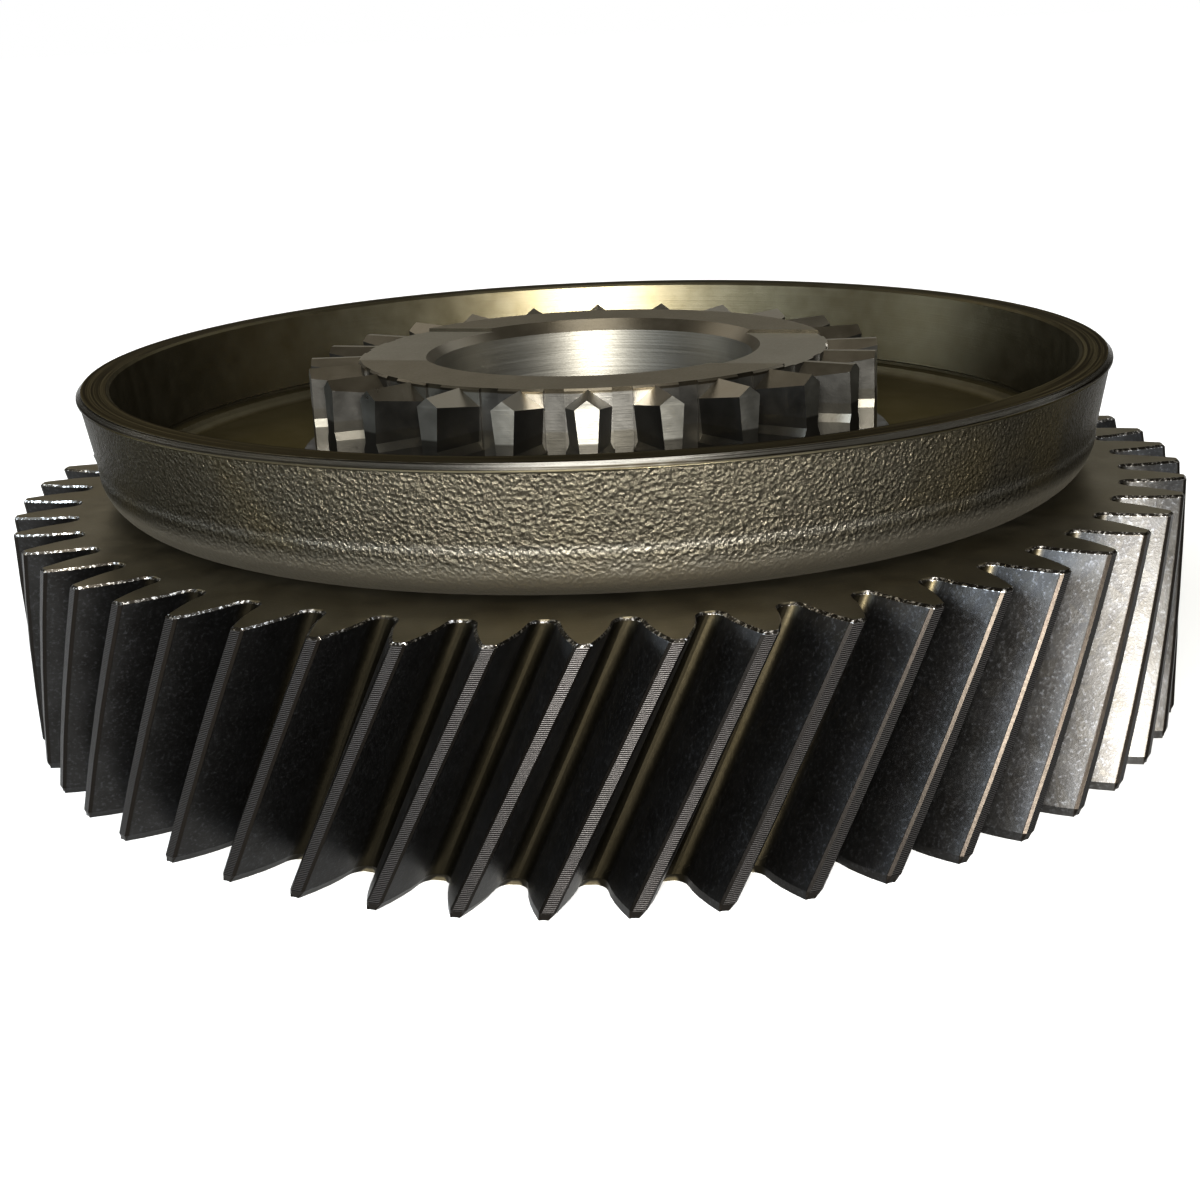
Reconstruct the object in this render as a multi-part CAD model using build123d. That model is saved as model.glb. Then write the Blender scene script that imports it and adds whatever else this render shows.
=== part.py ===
from build123d import *
import math
import os

# Constant-mesh helical gear of a truck gearbox, with its clutch teeth and its synchroniser cup.
# Millimetres. The origin is on the bore axis, in the plane of the gear's lower face.
# +Z runs along the bore, from the gear towards the clutch teeth.

# ---- gear teeth: an involute with deep, slim teeth and a right-hand helix ----
TOOTH_COUNT = 52
NORMAL_MODULE = 3.0
HELIX_ANGLE = 25.5
NORMAL_PRESSURE_ANGLE = 17.5
OUTSIDE_RADIUS = 90.0
ROOT_RADIUS = 80.7
PITCH_TOOTH_THICKNESS = 4.6
ROOT_FILLET_DEPTH = 1.3
ROOT_FILLET_REACH = 1.45
TIP_CHAMFER = 0.35
FACE_WIDTH = 34.8
TOP_EDGE_BREAK = 0.3
BOTTOM_EDGE_BREAK_DEPTH = 1.1
BOTTOM_EDGE_BREAK_INSET = 0.45
TOP_TOOTH_ANGLE = -91.5
FLANK_POINTS = 5

# ---- gear body ----
BORE_RADIUS = 25.0
BORE_CHAMFER = 1.75
LOWER_RECESS_INNER_RADIUS = 40.0
LOWER_RECESS_OUTER_RADIUS = 68.0
LOWER_RECESS_DEPTH = 5.0
LOWER_RECESS_DRAFT = 1.5
LOWER_RECESS_FILLET = 2.0
LOWER_EDGE_CHAMFER = 0.5

# ---- clutch teeth on the hub ----
CLUTCH_COUNT = 24
CLUTCH_PITCH = 360.0 / CLUTCH_COUNT
CLUTCH_TOOTH_ANGLE = -91.5
CLUTCH_TIP_RADIUS = 44.4
CLUTCH_CORE_RADIUS = 36.6
CLUTCH_ROOT_RADIUS = 36.25
CLUTCH_TIP_HALF_WIDTH = 1.7
CLUTCH_CORE_HALF_WIDTH = 3.35
CLUTCH_SLOT_WIDTH = 2.9
CLUTCH_BACK_TAPER = 0.5
HUB_HEIGHT = 19.1
HUB_EDGE_CHAMFER = 0.3
RIDGE_HEIGHT = 18.95
ROOF_SLOPE = 0.75
TAPER_TOP = 17.6
TAPER_FOOT = 11.4
TAPER_STEP_HEIGHT = 1.2

# ---- oil slot milled across the hub's thrust face ----
OIL_SLOT_WIDTH = 30.0
OIL_SLOT_DEPTH = 0.55
OIL_SLOT_ANGLE = -16.0

# ---- synchroniser cup: heights are measured from the gear's upper face ----
CUP_RIM_OUTER_RADIUS = 78.9
CUP_RIM_HEIGHT = 18.5
CUP_RIM_BAND = 1.0
CUP_RIM_STEP = 0.35
CUP_RIM_STEP_HEIGHT = 0.2
CUP_RIM_EDGE = 0.75
CUP_RIDGE_RADIUS = 76.9
CUP_RIDGE_HEIGHT = 7.5
CUP_SHOULDER_RADIUS = 75.9
CUP_SHOULDER_HEIGHT = 3.4
CUP_FOOT_RADIUS = 72.4
CUP_FOOT_GAP = 0.5
CUP_SEAT_RADIUS = 62.0
CONE_TOP_RADIUS = 74.1
CONE_FOOT_RADIUS = 72.6
CONE_FOOT_HEIGHT = 5.9
CONE_EDGE = 0.4
RELIEF_DEPTH = 0.6
RELIEF_HEIGHT = 1.1
RELIEF_BEVEL = 0.3
CUP_WALL_FOOT_INSET = 1.0
CUP_FLOOR_HEIGHT = 3.2
CUP_FLOOR_FILLET = 2.0
SPLINE_CLEARANCE = 0.12

# ---- snap ring that holds the cup down on the gear ----
RING_GROOVE_RADIUS = 41.9
RING_GROOVE_WIDTH = 1.9
RING_THICKNESS = 1.75
RING_INNER_RADIUS = 42.0
RING_OUTER_RADIUS = 46.4
RING_GAP_ANGLE = 8.0
RING_GAP_CENTRE = 68.0
RING_EDGE = 0.2

# ---- how far solids run into each other, or a cut runs past a face, while the shape is built ----
OVERLAP = 1.0


def polar(radius, degrees):
    angle = math.radians(degrees)
    return (radius * math.cos(angle), radius * math.sin(angle))


# ---------------------------------------------------------------- gear teeth

PITCH_RADIUS = TOOTH_COUNT * NORMAL_MODULE / (2 * math.cos(math.radians(HELIX_ANGLE)))
TRANSVERSE_ANGLE = math.atan(
    math.tan(math.radians(NORMAL_PRESSURE_ANGLE)) / math.cos(math.radians(HELIX_ANGLE))
)
BASE_RADIUS = PITCH_RADIUS * math.cos(TRANSVERSE_ANGLE)
TWIST_PER_MM = math.degrees(math.tan(math.radians(HELIX_ANGLE)) / PITCH_RADIUS)
TOOTH_PITCH = 360.0 / TOOTH_COUNT


def involute(angle):
    return math.tan(angle) - angle


def tooth_half_angle(radius):
    """Half of the angle, in degrees, that one tooth takes up at this radius."""
    pressure_angle = math.acos(min(1.0, BASE_RADIUS / radius))
    half = PITCH_TOOTH_THICKNESS / (2 * PITCH_RADIUS)
    half += involute(TRANSVERSE_ANGLE) - involute(pressure_angle)
    return math.degrees(half)


def gear_outline(inset, rotation):
    """The closed outline of all teeth, shrunk by inset, as a wire in the plane Z = 0."""
    tip = OUTSIDE_RADIUS - inset
    root = ROOT_RADIUS - inset
    fillet_top = ROOT_RADIUS + ROOT_FILLET_DEPTH
    flank_top = OUTSIDE_RADIUS - TIP_CHAMFER
    narrowing = math.degrees(inset / PITCH_RADIUS)
    step = (flank_top - fillet_top) / (FLANK_POINTS - 1)
    radii = [fillet_top + step * i for i in range(FLANK_POINTS)]
    tip_half = tooth_half_angle(flank_top) - math.degrees(TIP_CHAMFER / OUTSIDE_RADIUS) - narrowing
    root_half = tooth_half_angle(fillet_top) + math.degrees(ROOT_FILLET_REACH / ROOT_RADIUS) - narrowing
    edges = []
    for tooth in range(TOOTH_COUNT):
        centre = rotation + tooth * TOOTH_PITCH
        rising = [polar(r, centre - tooth_half_angle(r) + narrowing) for r in radii]
        falling = [polar(r, centre + tooth_half_angle(r) - narrowing) for r in reversed(radii)]
        root_in = polar(root, centre - root_half)
        root_out = polar(root, centre + root_half)
        next_root = polar(root, centre + TOOTH_PITCH - root_half)
        root_middle = polar(root, centre + TOOTH_PITCH / 2)
        tip_in = polar(tip, centre - tip_half)
        tip_out = polar(tip, centre + tip_half)
        down_rising = Vector(*rising[0]) - Vector(*rising[1])
        down_falling = Vector(*falling[-1]) - Vector(*falling[-2])
        edges.append(Edge.make_tangent_arc(rising[0], down_rising, root_in))
        edges.append(Edge.make_spline(rising))
        edges.append(Edge.make_line(rising[-1], tip_in))
        edges.append(Edge.make_three_point_arc(tip_in, polar(tip, centre), tip_out))
        edges.append(Edge.make_line(tip_out, falling[0]))
        edges.append(Edge.make_spline(falling))
        edges.append(Edge.make_tangent_arc(falling[-1], down_falling, root_out))
        edges.append(Edge.make_three_point_arc(root_out, root_middle, next_root))
    return Wire(edges)


def gear_blank():
    """The toothed disc, with a small edge break above and a larger one below."""
    lower = BOTTOM_EDGE_BREAK_DEPTH
    upper = FACE_WIDTH - TOP_EDGE_BREAK

    def outline_at(height, inset):
        rotation = TOP_TOOTH_ANGLE - TWIST_PER_MM * (FACE_WIDTH - height)
        return gear_outline(inset, rotation).moved(Location((0, 0, height)))

    height = upper - lower
    teeth = Solid.extrude_linear_with_rotation(
        Face(outline_at(lower, 0)), (0, 0, lower), (0, 0, height), TWIST_PER_MM * height
    )
    foot = Solid.make_loft([outline_at(0, BOTTOM_EDGE_BREAK_INSET), outline_at(lower, 0)], ruled=True)
    head = Solid.make_loft([outline_at(upper, 0), outline_at(FACE_WIDTH, TOP_EDGE_BREAK)], ruled=True)
    return foot + teeth + head


def revolved(points, rounded=()):
    """A ring turned about Z from (radius, height) points, with (point number, radius) fillets."""
    outline = make_face(Polyline(*points, close=True))
    for number, radius in rounded:
        corner = outline.vertices().sort_by_distance((*points[number], 0))[0]
        outline = fillet(corner, radius)
    return revolve(Plane.XZ * outline, Axis.Z)


# ---------------------------------------------------------------- hub and clutch teeth


def clutch_section(height, narrowing):
    """One clutch tooth's cross-section, pointing along +X, as a closed wire at this height."""
    flank_slope = (CLUTCH_CORE_HALF_WIDTH - CLUTCH_TIP_HALF_WIDTH) / (CLUTCH_TIP_RADIUS - CLUTCH_CORE_RADIUS)
    heel = CLUTCH_CORE_RADIUS - OVERLAP
    heel_half = CLUTCH_CORE_HALF_WIDTH + flank_slope - narrowing
    tip_half = CLUTCH_TIP_HALF_WIDTH - narrowing
    shoulder = math.sqrt(CLUTCH_TIP_RADIUS**2 - tip_half**2)
    return Wire(
        [
            Edge.make_line((heel, -heel_half, height), (shoulder, -tip_half, height)),
            Edge.make_three_point_arc(
                (shoulder, -tip_half, height), (CLUTCH_TIP_RADIUS, 0, height), (shoulder, tip_half, height)
            ),
            Edge.make_line((shoulder, tip_half, height), (heel, heel_half, height)),
            Edge.make_line((heel, heel_half, height), (heel, -heel_half, height)),
        ]
    )


def clutch_tooth():
    """A tooth whose flanks are cut back below the shoulders, under a roof with a radial ridge."""
    upper = FACE_WIDTH
    levels = [
        (upper - OVERLAP, 0),
        (upper + TAPER_FOOT - TAPER_STEP_HEIGHT, 0),
        (upper + TAPER_FOOT, CLUTCH_BACK_TAPER),
        (upper + TAPER_TOP, 0),
        (upper + RIDGE_HEIGHT, 0),
    ]
    sections = [clutch_section(height, narrowing) for height, narrowing in levels]
    tooth = Solid.make_loft(sections, ruled=True)
    reach = CLUTCH_CORE_HALF_WIDTH + OVERLAP
    ridge = upper + RIDGE_HEIGHT
    eaves = ridge - ROOF_SLOPE * reach
    floor = upper - 2 * OVERLAP
    gable = make_face(
        Polyline(
            (-reach, floor), (reach, floor), (reach, eaves), (0, ridge), (-reach, eaves), close=True
        )
    )
    roof = extrude(Plane.YZ * gable, CLUTCH_TIP_RADIUS + OVERLAP)
    return tooth & roof


def around(shape, count, first_angle):
    """Copies of a shape at equal angles about Z."""
    return [shape.rotate(Axis.Z, first_angle + 360.0 / count * i) for i in range(count)]


def hub():
    """The hub above the gear's upper face: core, spaces, clutch teeth and ring groove."""
    root_height = FACE_WIDTH - OVERLAP
    core = revolved(
        [
            (BORE_RADIUS, root_height),
            (CLUTCH_CORE_RADIUS, root_height),
            (CLUTCH_CORE_RADIUS, FACE_WIDTH + HUB_HEIGHT - HUB_EDGE_CHAMFER),
            (CLUTCH_CORE_RADIUS - HUB_EDGE_CHAMFER, FACE_WIDTH + HUB_HEIGHT),
            (BORE_RADIUS + BORE_CHAMFER, FACE_WIDTH + HUB_HEIGHT),
            (BORE_RADIUS, FACE_WIDTH + HUB_HEIGHT - BORE_CHAMFER),
        ]
    )
    slot_depth = CLUTCH_CORE_RADIUS - CLUTCH_ROOT_RADIUS
    slot_length = 4.0
    slot = Pos(CLUTCH_ROOT_RADIUS + slot_length / 2, 0, FACE_WIDTH + HUB_HEIGHT / 2) * Box(
        slot_length, CLUTCH_SLOT_WIDTH, HUB_HEIGHT + slot_depth
    )
    core -= around(slot, CLUTCH_COUNT, CLUTCH_TOOTH_ANGLE + CLUTCH_PITCH / 2)
    core += around(clutch_tooth(), CLUTCH_COUNT, CLUTCH_TOOTH_ANGLE)
    groove_bottom = FACE_WIDTH + CUP_FLOOR_HEIGHT - (RING_GROOVE_WIDTH - RING_THICKNESS)
    groove = revolved(
        [
            (RING_GROOVE_RADIUS, groove_bottom),
            (RING_OUTER_RADIUS, groove_bottom),
            (RING_OUTER_RADIUS, groove_bottom + RING_GROOVE_WIDTH),
            (RING_GROOVE_RADIUS, groove_bottom + RING_GROOVE_WIDTH),
        ]
    )
    oil_slot = Pos(0, 0, FACE_WIDTH + HUB_HEIGHT) * Box(
        2 * CLUTCH_TIP_RADIUS, OIL_SLOT_WIDTH, 2 * OIL_SLOT_DEPTH
    )
    return core - groove - oil_slot.rotate(Axis.Z, OIL_SLOT_ANGLE)


def helical_gear():
    body = gear_blank()
    bore = revolved(
        [
            (0, -OVERLAP),
            (BORE_RADIUS + BORE_CHAMFER + OVERLAP, -OVERLAP),
            (BORE_RADIUS, BORE_CHAMFER),
            (BORE_RADIUS, FACE_WIDTH + OVERLAP),
            (0, FACE_WIDTH + OVERLAP),
        ]
    )
    edge = LOWER_EDGE_CHAMFER
    inner = LOWER_RECESS_INNER_RADIUS
    outer = LOWER_RECESS_OUTER_RADIUS
    recess = revolved(
        [
            (inner - edge, -OVERLAP),
            (inner - edge, 0),
            (inner, edge),
            (inner + LOWER_RECESS_DRAFT, LOWER_RECESS_DEPTH),
            (outer - LOWER_RECESS_DRAFT, LOWER_RECESS_DEPTH),
            (outer, edge),
            (outer + edge, 0),
            (outer + edge, -OVERLAP),
        ],
        rounded=[(3, LOWER_RECESS_FILLET), (4, LOWER_RECESS_FILLET)],
    )
    return body - (bore + recess) + hub()


# ---------------------------------------------------------------- synchroniser cup


def synchro_cup():
    """A forged cup: rough drafted outside, ground friction cone inside, splined floor."""
    base = FACE_WIDTH
    rim = base + CUP_RIM_HEIGHT
    cone_slope = (CONE_TOP_RADIUS - CONE_FOOT_RADIUS) / (CUP_RIM_HEIGHT - CONE_FOOT_HEIGHT)
    relief_foot = CONE_FOOT_HEIGHT - RELIEF_HEIGHT
    wall_foot = CONE_FOOT_RADIUS - cone_slope * CONE_FOOT_HEIGHT
    floor_corner = (wall_foot - CUP_WALL_FOOT_INSET, base + CUP_FLOOR_HEIGHT)
    forged_top = CUP_RIM_OUTER_RADIUS - CUP_RIM_STEP
    hole = CLUTCH_ROOT_RADIUS + SPLINE_CLEARANCE
    outline = Polyline(
        (CUP_RIM_OUTER_RADIUS - CUP_RIM_EDGE, rim),
        (CUP_RIM_OUTER_RADIUS, rim - CUP_RIM_EDGE),
        (CUP_RIM_OUTER_RADIUS, rim - CUP_RIM_BAND),
        (forged_top, rim - CUP_RIM_BAND - CUP_RIM_STEP_HEIGHT),
        (CUP_RIDGE_RADIUS, base + CUP_RIDGE_HEIGHT),
    )
    shoulder = ThreePointArc(
        (CUP_RIDGE_RADIUS, base + CUP_RIDGE_HEIGHT),
        (CUP_SHOULDER_RADIUS, base + CUP_SHOULDER_HEIGHT),
        (CUP_FOOT_RADIUS, base + CUP_FOOT_GAP),
    )
    inside = Polyline(
        (CUP_FOOT_RADIUS, base + CUP_FOOT_GAP),
        (CUP_SEAT_RADIUS, base + CUP_FOOT_GAP),
        (CUP_SEAT_RADIUS - CUP_FOOT_GAP, base),
        (hole, base),
        (hole, base + CUP_FLOOR_HEIGHT),
        floor_corner,
        (wall_foot, base + relief_foot),
        (CONE_FOOT_RADIUS + RELIEF_DEPTH, base + relief_foot + RELIEF_BEVEL),
        (CONE_FOOT_RADIUS + RELIEF_DEPTH, base + CONE_FOOT_HEIGHT - RELIEF_BEVEL),
        (CONE_FOOT_RADIUS, base + CONE_FOOT_HEIGHT),
        (CONE_TOP_RADIUS - cone_slope * CONE_EDGE, rim - CONE_EDGE),
        (CONE_TOP_RADIUS + CONE_EDGE, rim),
        (CUP_RIM_OUTER_RADIUS - CUP_RIM_EDGE, rim),
    )
    section = make_face([*outline.edges(), shoulder.edge(), *inside.edges()])
    corner = section.vertices().sort_by_distance((*floor_corner, 0))[0]
    section = fillet(corner, CUP_FLOOR_FILLET)
    cup = revolve(Plane.XZ * section, Axis.Z)
    return cup - spline_space()


def spline_space():
    """The room that the hub and its clutch teeth take up in the cup's floor, with clearance."""
    height = CUP_FLOOR_HEIGHT + 2 * OVERLAP
    flank_slope = (CLUTCH_CORE_HALF_WIDTH - CLUTCH_TIP_HALF_WIDTH) / (CLUTCH_TIP_RADIUS - CLUTCH_CORE_RADIUS)
    heel = CLUTCH_CORE_RADIUS - OVERLAP
    tip = CLUTCH_TIP_RADIUS + SPLINE_CLEARANCE
    heel_half = CLUTCH_CORE_HALF_WIDTH + flank_slope + SPLINE_CLEARANCE
    tip_half = CLUTCH_TIP_HALF_WIDTH + SPLINE_CLEARANCE
    corners = [(heel, -heel_half), (tip, -tip_half), (tip, tip_half), (heel, heel_half)]
    trapezoid = make_face(Polyline(*corners, close=True))
    low = FACE_WIDTH - OVERLAP
    tooth = Pos(0, 0, low) * extrude(trapezoid, height)
    core = Pos(0, 0, low + height / 2) * Cylinder(CLUTCH_CORE_RADIUS + SPLINE_CLEARANCE, height)
    return core + around(tooth, CLUTCH_COUNT, CLUTCH_TOOTH_ANGLE)


# ---------------------------------------------------------------- snap ring


def cup_snap_ring():
    """An external snap ring, open over a small angle, lying on the cup's floor."""
    low = FACE_WIDTH + CUP_FLOOR_HEIGHT
    high = low + RING_THICKNESS
    ring = revolved(
        [
            (RING_INNER_RADIUS + RING_EDGE, low),
            (RING_OUTER_RADIUS - RING_EDGE, low),
            (RING_OUTER_RADIUS, low + RING_EDGE),
            (RING_OUTER_RADIUS, high - RING_EDGE),
            (RING_OUTER_RADIUS - RING_EDGE, high),
            (RING_INNER_RADIUS + RING_EDGE, high),
            (RING_INNER_RADIUS, high - RING_EDGE),
            (RING_INNER_RADIUS, low + RING_EDGE),
        ]
    )
    reach = 2 * RING_OUTER_RADIUS
    first = polar(reach, RING_GAP_CENTRE - RING_GAP_ANGLE / 2)
    second = polar(reach, RING_GAP_CENTRE + RING_GAP_ANGLE / 2)
    gap = extrude(make_face(Polyline((0, 0), first, second, close=True)), high + OVERLAP)
    return ring - gap


PARTS = {
    "helical_gear": helical_gear,
    "synchro_cup": synchro_cup,
    "cup_snap_ring": cup_snap_ring,
}

os.makedirs("parts", exist_ok=True)
for node, make in PARTS.items():
    shape = make()
    shape.label = node
    export_step(shape, f"parts/{node}.step")
    print(node, "solids", len(shape.solids()), "volume mm3", round(shape.volume))
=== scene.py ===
import math
import bpy
from mathutils import Matrix, Vector


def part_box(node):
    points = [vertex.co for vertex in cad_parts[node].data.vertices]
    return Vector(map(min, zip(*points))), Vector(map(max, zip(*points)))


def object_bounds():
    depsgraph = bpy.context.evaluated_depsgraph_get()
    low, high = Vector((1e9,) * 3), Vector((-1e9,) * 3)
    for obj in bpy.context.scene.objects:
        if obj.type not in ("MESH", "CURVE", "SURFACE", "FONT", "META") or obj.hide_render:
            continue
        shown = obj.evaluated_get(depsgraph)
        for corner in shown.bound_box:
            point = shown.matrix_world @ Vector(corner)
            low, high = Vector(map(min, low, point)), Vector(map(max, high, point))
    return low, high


# The looks of a helical gear with a synchroniser cup: oiled steel that is ground, turned, hobbed or forged.
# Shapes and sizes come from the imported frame. Node trees work in millimetres in the frame's own axes.

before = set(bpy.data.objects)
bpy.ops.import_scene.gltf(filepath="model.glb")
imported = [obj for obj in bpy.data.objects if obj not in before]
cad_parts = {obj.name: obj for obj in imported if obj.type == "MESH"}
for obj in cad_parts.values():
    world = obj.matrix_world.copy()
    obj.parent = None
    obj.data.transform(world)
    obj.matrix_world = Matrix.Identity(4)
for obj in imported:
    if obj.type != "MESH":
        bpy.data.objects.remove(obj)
cad_low, cad_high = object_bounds()
MM = 0.001

gear_low, gear_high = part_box("helical_gear")
cup_low, cup_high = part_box("synchro_cup")
ring_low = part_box("cup_snap_ring")[0]

# In millimetres. The ring lies on the cup's floor, and the cup on the gear's face.
OUTSIDE_RADIUS = gear_high.x / MM
HUB_TOP = gear_high.z / MM
GEAR_FACE = cup_low.z / MM
CUP_TOP = cup_high.z / MM
CUP_RADIUS = cup_high.x / MM
CUP_FLOOR = ring_low.z / MM

TOOTH_DEPTH = 9.3
ROOT_RADIUS = OUTSIDE_RADIUS - TOOTH_DEPTH
BORE_RADIUS = 25.0
CLUTCH_LAND_RADIUS = 42.5
CLUTCH_FOOT = GEAR_FACE + 13.0
CUP_RIDGE = GEAR_FACE + 7.5
FEED_PITCH = 0.25


# ---------------------------------------------------------------- node trees


class Graph:
    """Adds nodes to a material's tree. All calls but node and surface return the new output."""

    def __init__(self, material):
        material.use_nodes = True
        self.tree = material.node_tree
        self.tree.nodes.clear()

    def node(self, kind, **settings):
        made = self.tree.nodes.new(kind)
        for name, value in settings.items():
            setattr(made, name, value)
        return made

    def feed(self, socket, value):
        if isinstance(value, bpy.types.NodeSocket):
            self.tree.links.new(value, socket)
        elif isinstance(value, tuple) and len(value) == 3 and socket.type == "RGBA":
            socket.default_value = (*value, 1.0)
        else:
            socket.default_value = value

    def math(self, operation, *values):
        made = self.node("ShaderNodeMath", operation=operation)
        for socket, value in zip(made.inputs, values):
            self.feed(socket, value)
        return made.outputs[0]

    def add(self, *values):
        total = values[0]
        for value in values[1:]:
            total = self.math("ADD", total, value)
        return total

    def times(self, *values):
        product = values[0]
        for value in values[1:]:
            product = self.math("MULTIPLY", product, value)
        return product

    def inverse(self, value):
        return self.math("SUBTRACT", 1.0, value)

    def ramp(self, value, none, full):
        """0 at none and 1 at full, smooth between. Full may be under none."""
        made = self.node("ShaderNodeMapRange", interpolation_type="SMOOTHSTEP")
        for socket, given in zip(made.inputs, (value, none, full, 0.0, 1.0)):
            self.feed(socket, given)
        return made.outputs[0]

    def spread(self, texture, to_low, to_high):
        """A texture's usual values, from 0.2 to 0.8, spread over another range."""
        made = self.node("ShaderNodeMapRange")
        for socket, given in zip(made.inputs, (texture, 0.2, 0.8, to_low, to_high)):
            self.feed(socket, given)
        return made.outputs[0]

    def colour(self, factor, first, second):
        made = self.node("ShaderNodeMix", data_type="RGBA", blend_type="MIX")
        self.feed(made.inputs["Factor"], factor)
        for socket, given in zip([s for s in made.inputs if s.type == "RGBA"], (first, second)):
            self.feed(socket, given)
        return next(s for s in made.outputs if s.type == "RGBA")

    def value(self, factor, first, second):
        made = self.node("ShaderNodeMix", data_type="FLOAT")
        self.feed(made.inputs[0], factor)
        self.feed(made.inputs[2], first)
        self.feed(made.inputs[3], second)
        return made.outputs[0]

    def join(self, x, y, z):
        made = self.node("ShaderNodeCombineXYZ")
        for socket, value in zip(made.inputs, (x, y, z)):
            self.feed(socket, value)
        return made.outputs[0]

    def noise(self, place, scale, detail=2.0, roughness=0.5):
        made = self.node("ShaderNodeTexNoise")
        self.feed(made.inputs["Vector"], place)
        made.inputs["Scale"].default_value = scale
        made.inputs["Detail"].default_value = detail
        made.inputs["Roughness"].default_value = roughness
        return made.outputs[0]

    def cells(self, place, scale):
        made = self.node("ShaderNodeTexVoronoi")
        self.feed(made.inputs["Vector"], place)
        made.inputs["Scale"].default_value = scale
        return made.outputs["Distance"]

    def bump(self, height, distance):
        """A normal for a height from 0 to 1, where distance is what 1 stands for, in millimetres."""
        made = self.node("ShaderNodeBump")
        made.inputs["Distance"].default_value = distance * MM
        self.feed(made.inputs["Height"], height)
        return made.outputs[0]

    def surface(self, colour, roughness, normal, metallic=1.0, edge=1.0, glow=0.0):
        """Ends the tree. Edge is how much of a metal's bright reflection at a glancing angle is left."""
        shader = self.node("ShaderNodeBsdfPrincipled")
        self.feed(shader.inputs["Base Color"], colour)
        self.feed(shader.inputs["Roughness"], roughness)
        self.feed(shader.inputs["Normal"], normal)
        shader.inputs["Metallic"].default_value = metallic
        shader.inputs["Specular Tint"].default_value = (edge, edge, edge, 1.0)
        shader.inputs["Emission Color"].default_value = (1.0, 1.0, 1.0, 1.0)
        self.feed(shader.inputs["Emission Strength"], glow)
        output = self.node("ShaderNodeOutputMaterial")
        self.tree.links.new(shader.outputs[0], output.inputs["Surface"])


class Round(Graph):
    """A graph for a round piece: place, radius and z are in millimetres from the bore's axis and the bench.

    Up and out are the parts of the true normal that point upwards and away from the axis.
    """

    def __init__(self, material):
        super().__init__(material)
        object_place = self.node("ShaderNodeTexCoord").outputs["Object"]
        scale = self.node("ShaderNodeVectorMath", operation="SCALE")
        self.feed(scale.inputs[0], object_place)
        scale.inputs["Scale"].default_value = 1 / MM
        self.place = scale.outputs[0]
        split = self.node("ShaderNodeSeparateXYZ")
        self.feed(split.inputs[0], self.place)
        self.x, self.y, self.z = split.outputs
        squares = self.add(self.times(self.x, self.x), self.times(self.y, self.y))
        self.radius = self.math("SQRT", squares)
        normal = self.node("ShaderNodeSeparateXYZ")
        self.feed(normal.inputs[0], self.node("ShaderNodeNewGeometry").outputs["True Normal"])
        nx, ny, self.up = normal.outputs
        along = self.add(self.times(nx, self.x), self.times(ny, self.y))
        self.out = self.math("DIVIDE", along, self.radius)

    def lathe_lines(self, pitch, wander=0.05):
        """Fine circles this far apart, as a lathe or grinder leaves them. More wander makes them shorter."""
        around = self.times(self.add(self.x, self.y), wander)
        place = self.join(self.times(self.radius, 1 / pitch), around, self.times(self.z, 1 / pitch))
        return self.noise(place, scale=1.0, detail=3.0, roughness=0.6)


def material(name, build):
    made = bpy.data.materials.new(name)
    build(made)
    return made


# ---------------------------------------------------------------- gear


# An area goes from none to full between the two numbers of its pair, which are a radius or a height, or for
# SLOPE, UPRIGHT and LEVEL the upward part of the normal, and for OUT the part that points away from the axis.
UPRIGHT = (0.6, 0.4)
LEVEL = (0.96, 0.99)
TEETH = (ROOT_RADIUS - 0.3, ROOT_RADIUS)
TOOTH_ROOT = (ROOT_RADIUS + 1.6, ROOT_RADIUS + 0.3)
TOOTH_TIP = (OUTSIDE_RADIUS - 0.3, OUTSIDE_RADIUS - 0.1)
TOOTH_TIP_OUT = (0.93, 0.99)
TIP_CHAMFER = (OUTSIDE_RADIUS - 0.55, OUTSIDE_RADIUS - 0.35)
UPPER_EDGE = (GEAR_FACE - 0.4, GEAR_FACE - 0.3)
UPPER_EDGE_SLOPE = (0.95, 0.85)
BORE = (BORE_RADIUS + 0.4, BORE_RADIUS + 0.2)
BORE_SLOPE = (0.3, 0.1)
HUB = (GEAR_FACE + 0.1, GEAR_FACE + 0.3)
SLOT_FLOOR = (HUB_TOP - 0.2, HUB_TOP - 0.4)
SLOT_WALL = (HUB_TOP - 0.7, HUB_TOP - 0.6)
SLOT_WALL_SLOPE = (0.5, 0.3)
ROOF_SLOPE_LOW = (0.3, 0.45)
ROOF_SLOPE_HIGH = (0.96, 0.9)
PENTAGON = (CLUTCH_LAND_RADIUS, CLUTCH_LAND_RADIUS + 0.4)
PENTAGON_OUT = (0.94, 0.98)
TAPER_FOOT = (CLUTCH_FOOT + 0.2, CLUTCH_FOOT - 0.2)


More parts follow.
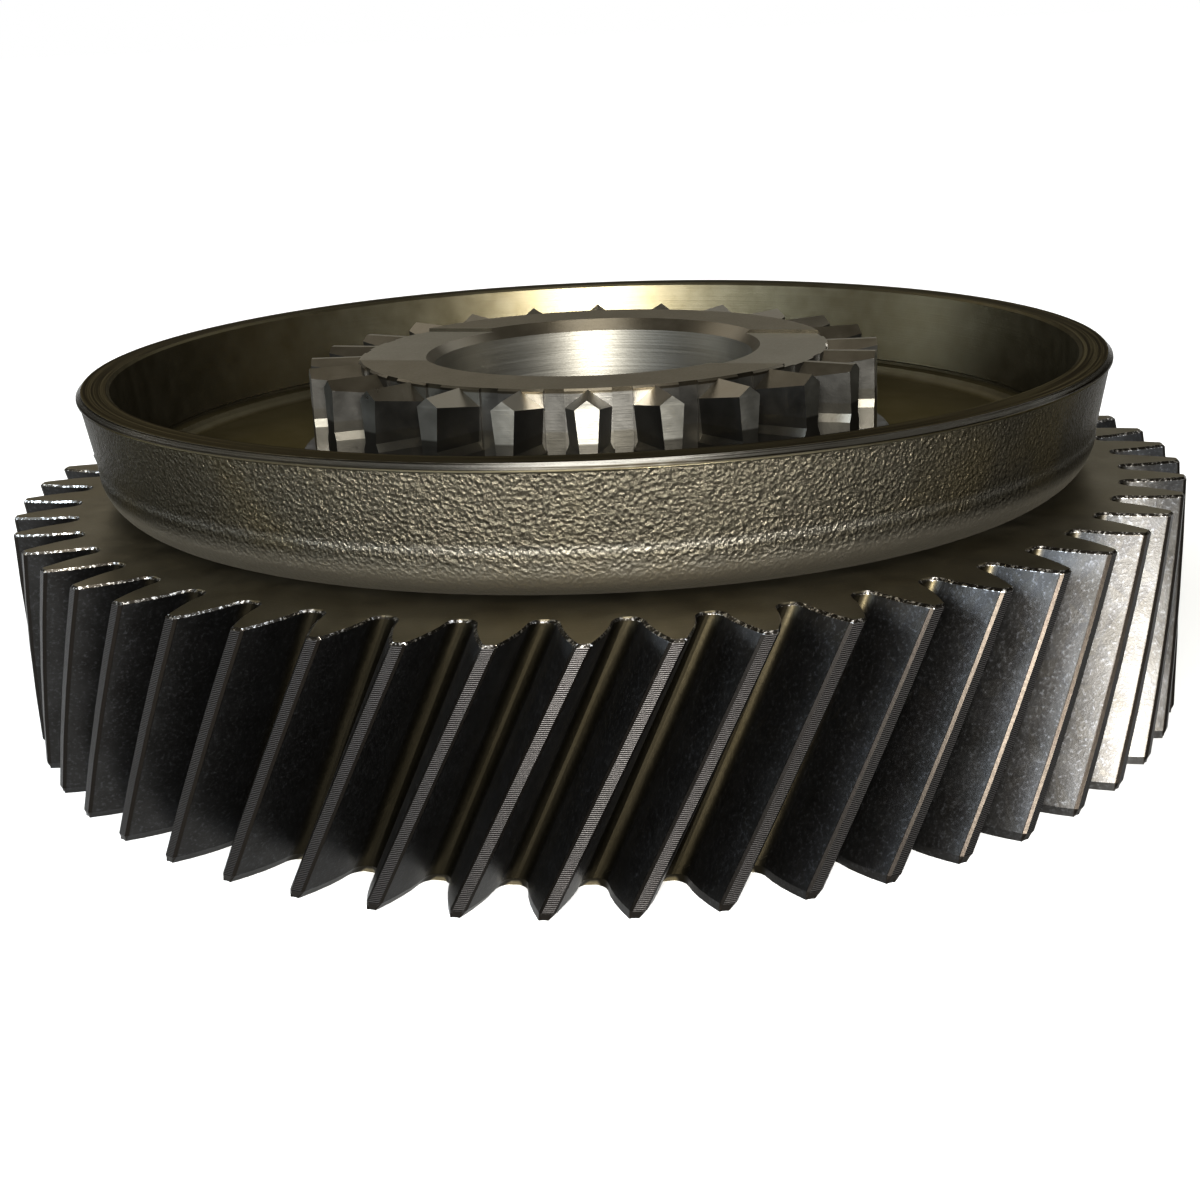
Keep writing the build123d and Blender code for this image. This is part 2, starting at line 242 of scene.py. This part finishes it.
def gear_look(made):
    """Hobbed teeth, a turned face, ground hub faces and a ground bore, all dark with old oil."""
    g = Round(made)
    on_teeth = g.ramp(g.radius, *TEETH)
    upright = g.times(on_teeth, g.ramp(g.up, *UPRIGHT))
    root = g.times(upright, g.ramp(g.radius, *TOOTH_ROOT))
    land = g.times(upright, g.ramp(g.out, *TOOTH_TIP_OUT), g.ramp(g.radius, *TOOTH_TIP))
    tip_edge = g.times(upright, g.ramp(g.radius, *TIP_CHAMFER), g.inverse(land))
    burr_and_painted_glint = g.times(on_teeth, g.ramp(g.z, *UPPER_EDGE), g.ramp(g.up, *UPPER_EDGE_SLOPE))
    bore = g.times(g.ramp(g.radius, *BORE), g.ramp(g.up, *BORE_SLOPE))
    hub = g.times(g.ramp(g.z, *HUB), g.inverse(bore))
    hub_face = g.times(hub, g.ramp(g.up, *LEVEL))
    slot_floor = g.times(hub_face, g.ramp(g.z, *SLOT_FLOOR))
    slot_wall_painted_shade = g.times(hub, g.ramp(g.z, *SLOT_WALL), g.ramp(g.up, *SLOT_WALL_SLOPE))
    clutch_roof = g.times(hub, g.ramp(g.up, *ROOF_SLOPE_LOW), g.ramp(g.up, *ROOF_SLOPE_HIGH))
    clutch_land = g.times(hub, g.ramp(g.out, *PENTAGON_OUT), g.ramp(g.radius, *PENTAGON))
    clutch_foot = g.times(hub, g.ramp(g.z, *TAPER_FOOT))

    broad = g.noise(g.place, scale=0.06, detail=3.0)
    patches = g.noise(g.place, scale=0.22, detail=4.0, roughness=0.55)
    fine = g.noise(g.place, scale=2.0, detail=4.0, roughness=0.65)
    specks = g.noise(g.place, scale=2.2, detail=3.0, roughness=0.7)
    lines = g.lathe_lines(pitch=0.22)
    feed = g.math("SINE", g.times(g.z, 2 * math.pi / FEED_PITCH))

    face_colour = g.colour(broad, (0.105, 0.084, 0.042), (0.165, 0.150, 0.112))
    face_colour = g.colour(g.ramp(specks, 0.68, 0.74), face_colour, (0.30, 0.27, 0.21))
    flank_colour = g.colour(patches, (0.010, 0.009, 0.0075), (0.036, 0.0355, 0.035))
    flank_colour = g.colour(g.ramp(fine, 0.50, 0.80), flank_colour, (0.056, 0.057, 0.059))
    root_colour = g.colour(broad, (0.009, 0.0072, 0.0036), (0.016, 0.0138, 0.0092))
    land_colour = g.colour(g.ramp(feed, -0.2, 0.9), (0.006, 0.0055, 0.005), (0.050, 0.047, 0.045))
    # Burrs on the upper edge break, with their glints painted in as bright dashes.
    burr_and_painted_glint_colour = g.colour(g.ramp(fine, 0.50, 0.66), (0.025, 0.022, 0.018), (0.50, 0.48, 0.45))
    hub_colour = g.colour(patches, (0.060, 0.057, 0.050), (0.11, 0.106, 0.096))
    top_colour = g.colour(patches, (0.120, 0.104, 0.074), (0.165, 0.147, 0.112))
    roof_colour = g.colour(patches, (0.085, 0.073, 0.052), (0.130, 0.117, 0.092))
    slot_colour = g.colour(patches, (0.165, 0.150, 0.118), (0.215, 0.200, 0.165))
    pentagon_colour = g.colour(patches, (0.20, 0.195, 0.165), (0.31, 0.30, 0.27))
    bore_colour = g.colour(lines, (0.145, 0.136, 0.112), (0.205, 0.198, 0.175))

    colour = g.colour(upright, face_colour, flank_colour)
    colour = g.colour(root, colour, root_colour)
    colour = g.colour(tip_edge, colour, (0.013, 0.011, 0.009))
    colour = g.colour(land, colour, land_colour)
    # Painted highlight: bright dashes along the teeth's upper edge break.
    colour = g.colour(burr_and_painted_glint, colour, burr_and_painted_glint_colour)
    colour = g.colour(hub, colour, hub_colour)
    colour = g.colour(hub_face, colour, top_colour)
    colour = g.colour(slot_floor, colour, slot_colour)
    # Painted shade: the hub's small slot walls are darkened as if in shadow.
    colour = g.colour(slot_wall_painted_shade, colour, (0.035, 0.030, 0.021))
    colour = g.colour(clutch_roof, colour, roof_colour)
    colour = g.colour(clutch_land, colour, pentagon_colour)
    colour = g.colour(clutch_foot, colour, (0.075, 0.070, 0.058))
    colour = g.colour(bore, colour, bore_colour)

    roughness = g.value(upright, g.spread(patches, 0.28, 0.38), g.spread(fine, 0.34, 0.46))
    roughness = g.value(burr_and_painted_glint, roughness, 0.3)
    roughness = g.value(hub, roughness, g.spread(patches, 0.26, 0.36))
    roughness = g.value(hub_face, roughness, g.spread(fine, 0.36, 0.48))
    roughness = g.value(bore, roughness, g.spread(lines, 0.32, 0.40))

    turned = g.times(lines, g.value(upright, 0.5, 0.1))
    hobbed = g.add(g.times(fine, g.value(upright, 0.5, 1.0)), g.times(land, feed, 0.5))
    height = g.add(turned, g.times(specks, 0.2), hobbed)
    g.surface(colour, roughness, g.bump(height, distance=0.02), edge=0.75)


# ---------------------------------------------------------------- synchroniser cup


WALL_OUT = (0.02, 0.2)
OUTER_WALL = (CUP_RADIUS - 9.0, CUP_RADIUS - 8.0)
RIM = (CUP_TOP - 1.15, CUP_TOP - 0.95)
RIM_LAND_SLOPE = (0.92, 0.97)
BEVEL_SLOPE = (0.2, 0.5)
FLOOR_SLOPE = (0.8, 0.95)
FLOOR = (CUP_FLOOR + 9.3, CUP_FLOOR + 8.3)
UNDER_RIDGE = (CUP_RIDGE - 1.1, CUP_RIDGE)
OVER_RIDGE = (CUP_RIDGE + 0.9, CUP_RIDGE)
COARSE_SKIN = (GEAR_FACE + 2.5, GEAR_FACE + 9.0)
CUP_FOOT = (GEAR_FACE + 6.6, GEAR_FACE + 3.8)


def cup_look(made):
    """A forged, grainy skin outside, a turned rim, and a ground cone inside."""
    g = Round(made)
    outward = g.times(g.ramp(g.out, *WALL_OUT), g.ramp(g.radius, *OUTER_WALL))
    rim = g.ramp(g.z, *RIM)
    forged = g.times(outward, g.inverse(rim))
    rim_land = g.times(rim, g.ramp(g.up, *RIM_LAND_SLOPE))
    rim_edge = g.times(rim, outward, g.inverse(rim_land))
    bevel = g.ramp(g.up, *BEVEL_SLOPE)
    floor = g.times(g.ramp(g.up, *FLOOR_SLOPE), g.ramp(g.z, *FLOOR))
    ridge = g.times(g.ramp(g.z, *UNDER_RIDGE), g.ramp(g.z, *OVER_RIDGE))
    coarse = g.ramp(g.z, *COARSE_SKIN)
    foot_with_painted_light = g.ramp(g.z, *CUP_FOOT)

    lines = g.lathe_lines(pitch=0.12)
    streaks = g.lathe_lines(pitch=0.3, wander=0.02)
    grain = g.cells(g.place, scale=1.7)
    pits = g.noise(g.place, scale=2.1, detail=4.0, roughness=0.65)
    patches = g.noise(g.place, scale=0.3, detail=3.0)
    broad = g.noise(g.place, scale=0.05, detail=2.0)

    forged_colour = g.colour(pits, (0.008, 0.0065, 0.004), (0.064, 0.058, 0.044))
    forged_colour = g.colour(g.times(ridge, 0.5), forged_colour, (0.085, 0.080, 0.068))
    stain = g.times(g.ramp(broad, 0.5, 0.7), 0.35)
    forged_colour = g.colour(stain, forged_colour, (0.062, 0.050, 0.026))
    # Painted light: the cup's curving foot is made lighter, as if lit.
    forged_colour = g.colour(g.times(foot_with_painted_light, 0.8), forged_colour, (0.165, 0.153, 0.126))
    cone_colour = g.colour(patches, (0.052, 0.044, 0.025), (0.074, 0.066, 0.045))
    land_colour = g.colour(g.ramp(streaks, 0.4, 0.62), (0.030, 0.023, 0.011), (0.090, 0.076, 0.044))
    bevel_colour = g.colour(g.ramp(streaks, 0.36, 0.56), (0.024, 0.019, 0.010), (0.185, 0.180, 0.165))
    band_colour = g.colour(g.ramp(streaks, 0.40, 0.60), (0.020, 0.016, 0.008), (0.070, 0.062, 0.042))
    floor_colour = g.colour(patches, (0.060, 0.049, 0.021), (0.090, 0.076, 0.042))
    colour = g.colour(forged, cone_colour, forged_colour)
    colour = g.colour(rim_land, colour, land_colour)
    colour = g.colour(rim_edge, colour, g.colour(bevel, band_colour, bevel_colour))
    colour = g.colour(floor, colour, floor_colour)

    roughness = g.spread(patches, 0.36, 0.42)
    roughness = g.value(forged, roughness, g.spread(pits, 0.24, 0.37))
    roughness = g.value(foot_with_painted_light, roughness, 0.46)
    roughness = g.value(rim_land, roughness, g.spread(streaks, 0.25, 0.45))
    roughness = g.value(rim_edge, roughness, g.spread(streaks, 0.18, 0.28))
    rough_skin = g.times(g.add(g.times(grain, 0.8), g.times(pits, 1.3)), g.value(coarse, 0.35, 1.0))
    turned_skin = g.add(g.times(lines, 0.07), g.times(streaks, 0.05))
    height = g.value(forged, turned_skin, rough_skin)
    g.surface(colour, roughness, g.bump(height, distance=0.21), edge=0.4)


# ---------------------------------------------------------------- snap ring and floor


def ring_look(made):
    """Dark spring steel, ground on both sides."""
    g = Round(made)
    lines = g.lathe_lines(pitch=0.2)
    patches = g.noise(g.place, scale=0.4, detail=3.0)
    colour = g.colour(patches, (0.07, 0.07, 0.075), (0.13, 0.13, 0.13))
    roughness = g.spread(patches, 0.3, 0.42)
    g.surface(colour, roughness, g.bump(lines, distance=0.01))


GLOW_PAST_PAINTED_SHADOW = (OUTSIDE_RADIUS - 5.0, OUTSIDE_RADIUS + 130.0)
NEAR_STRENGTH = 0.72
FAR_GLOW = (400.0, 1200.0)
FAR_STRENGTH = 0.35


def floor_look(made):
    """Pale paper that glows to stand in for light; a painted shadow keeps it dark under the gear, and it is
    brightest far from it.
    """
    g = Round(made)
    tone = g.noise(g.place, scale=0.01, detail=2.0)
    colour = g.colour(tone, (0.34, 0.34, 0.335), (0.37, 0.37, 0.365))
    # Painted shadow: the glow is taken away under and near the gear, so the floor is dark there.
    glow_past_painted_shadow = g.times(g.ramp(g.radius, *GLOW_PAST_PAINTED_SHADOW), NEAR_STRENGTH)
    far = g.times(g.ramp(g.radius, *FAR_GLOW), FAR_STRENGTH)
    g.surface(colour, 0.6, g.bump(tone, distance=0.01), metallic=0.0, glow=g.add(glow_past_painted_shadow, far))


LOOKS = {"helical_gear": gear_look, "synchro_cup": cup_look, "cup_snap_ring": ring_look}

for node, look in LOOKS.items():
    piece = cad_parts[node]
    finish = material(node + "_finish", look)
    for place in piece.material_slots:
        place.material = finish


# ---------------------------------------------------------------- floor, light and camera


FLOOR_HALF = 30.0  # metres


def add_floor():
    """A floor under the gear, wide enough that no view shows where it ends."""
    mesh = bpy.data.meshes.new("floor")
    corners = [(x * FLOOR_HALF, y * FLOOR_HALF, 0) for x, y in ((-1, -1), (1, -1), (1, 1), (-1, 1))]
    mesh.from_pydata(corners, [], [(0, 1, 2, 3)])
    floor = bpy.data.objects.new("floor", mesh)
    floor.location.z = gear_low.z
    bpy.context.scene.collection.objects.link(floor)
    mesh.materials.append(material("floor_paint", floor_look))


def direction(azimuth, elevation):
    """A unit vector from the object. Azimuth 0 is towards the camera, and 90 towards +X."""
    a, e = math.radians(azimuth), math.radians(elevation)
    return Vector((math.sin(a) * math.cos(e), -math.cos(a) * math.cos(e), math.sin(e)))


def softbox(name, azimuth, elevation, distance, size, watts, colour):
    """An area light that looks at the middle of the gear. Sizes and distances are in metres."""
    data = bpy.data.lights.new(name, "AREA")
    data.shape = "RECTANGLE"
    data.size, data.size_y = size
    data.energy = watts
    data.color = colour
    box = bpy.data.objects.new(name, data)
    way = direction(azimuth, elevation)
    box.location = (cad_low + cad_high) / 2 + way * distance
    box.rotation_mode = "QUATERNION"
    box.rotation_quaternion = way.to_track_quat("Z", "Y")
    bpy.context.scene.collection.objects.link(box)


WARM_WHITE = (1.0, 0.99, 0.97)
SKY_BLUE = (0.70, 0.83, 1.0)
PALE_BLUE = (0.76, 0.87, 1.0)
COOL_WHITE = (0.80, 0.88, 1.0)
LAMP_YELLOW = (1.0, 0.86, 0.55)
BACK_WARM = (1.0, 0.97, 0.92)
BACK_COOL = (0.92, 0.96, 1.0)


def add_light():
    """A flash at the camera, windows and a lamp at the sides, a lit ceiling, and fill from behind."""
    softbox("flash", 0, 17, distance=0.5, size=(0.14, 0.05), watts=17.0, colour=WARM_WHITE)
    softbox("window_front", -42, 28, distance=0.8, size=(0.55, 0.30), watts=10.0, colour=SKY_BLUE)
    softbox("window_left", -103, 14, distance=0.9, size=(0.30, 0.20), watts=3.2, colour=PALE_BLUE)
    softbox("window_right", 58, 26, distance=0.8, size=(0.35, 0.35), watts=2.0, colour=COOL_WHITE)
    softbox("warm_left", -75, 30, distance=0.9, size=(0.3, 0.5), watts=0.9, colour=LAMP_YELLOW)
    softbox("back_left", -145, 38, distance=1.2, size=(0.8, 0.5), watts=2.5, colour=BACK_WARM)
    softbox("back_right", 145, 38, distance=1.2, size=(0.8, 0.5), watts=2.5, colour=BACK_COOL)
    softbox("ceiling", 0, 75, distance=2.5, size=(1.1, 0.9), watts=22.0, colour=WARM_WHITE)


ROOM_COLOUR = (1.0, 0.92, 0.75, 1.0)
ROOM_STRENGTH = 0.22
WHITE = (1.0, 1.0, 1.0, 1.0)


def add_world():
    """A dim, warm room, with a white backdrop behind the floor."""
    world = bpy.data.worlds.new("studio")
    world.use_nodes = True
    tree = world.node_tree
    room = tree.nodes["Background"]
    room.inputs["Color"].default_value = ROOM_COLOUR
    room.inputs["Strength"].default_value = ROOM_STRENGTH
    backdrop = tree.nodes.new("ShaderNodeBackground")
    backdrop.inputs["Color"].default_value = WHITE
    seen = tree.nodes.new("ShaderNodeLightPath")
    mix = tree.nodes.new("ShaderNodeMixShader")
    tree.links.new(seen.outputs["Is Camera Ray"], mix.inputs[0])
    tree.links.new(room.outputs[0], mix.inputs[1])
    tree.links.new(backdrop.outputs[0], mix.inputs[2])
    tree.links.new(mix.outputs[0], tree.nodes["World Output"].inputs["Surface"])
    bpy.context.scene.world = world


# Angles in degrees. The camera's distance and its height over the gear's face are in outside radii.
CAMERA_PITCH = 17.398
CAMERA_YAW = -0.112
CAMERA_ROLL = -2.397
CAMERA_DISTANCE = 3.1729
CAMERA_HEIGHT = 0.7389
SENSOR_WIDTH = 36.0
LENS = 54.73
VIEW_GAMMA = 0.86


def add_camera():
    """A normal lens close to the gear, a little above it and turned a little anticlockwise."""
    pitch, yaw, roll = (math.radians(angle) for angle in (CAMERA_PITCH, CAMERA_YAW, CAMERA_ROLL))
    forward = Vector((math.sin(yaw) * math.cos(pitch), math.cos(yaw) * math.cos(pitch), -math.sin(pitch)))
    right = Vector((math.cos(yaw), -math.sin(yaw), 0.0))
    up = right.cross(forward)
    across = math.cos(roll) * right + math.sin(roll) * up
    upwards = -math.sin(roll) * right + math.cos(roll) * up
    data = bpy.data.cameras.new("camera")
    data.sensor_width = SENSOR_WIDTH
    data.lens = LENS
    data.clip_start = 0.01
    camera = bpy.data.objects.new("camera", data)
    turn = Matrix((across, upwards, -forward)).transposed().to_4x4()
    distance = CAMERA_DISTANCE * OUTSIDE_RADIUS * MM
    height = (GEAR_FACE + CAMERA_HEIGHT * OUTSIDE_RADIUS) * MM
    camera.matrix_world = Matrix.Translation((0.0, -distance, height)) @ turn
    bpy.context.scene.collection.objects.link(camera)
    bpy.context.scene.camera = camera


add_floor()
add_light()
add_world()
add_camera()
bpy.context.scene.view_settings.view_transform = "Standard"
bpy.context.scene.view_settings.gamma = VIEW_GAMMA
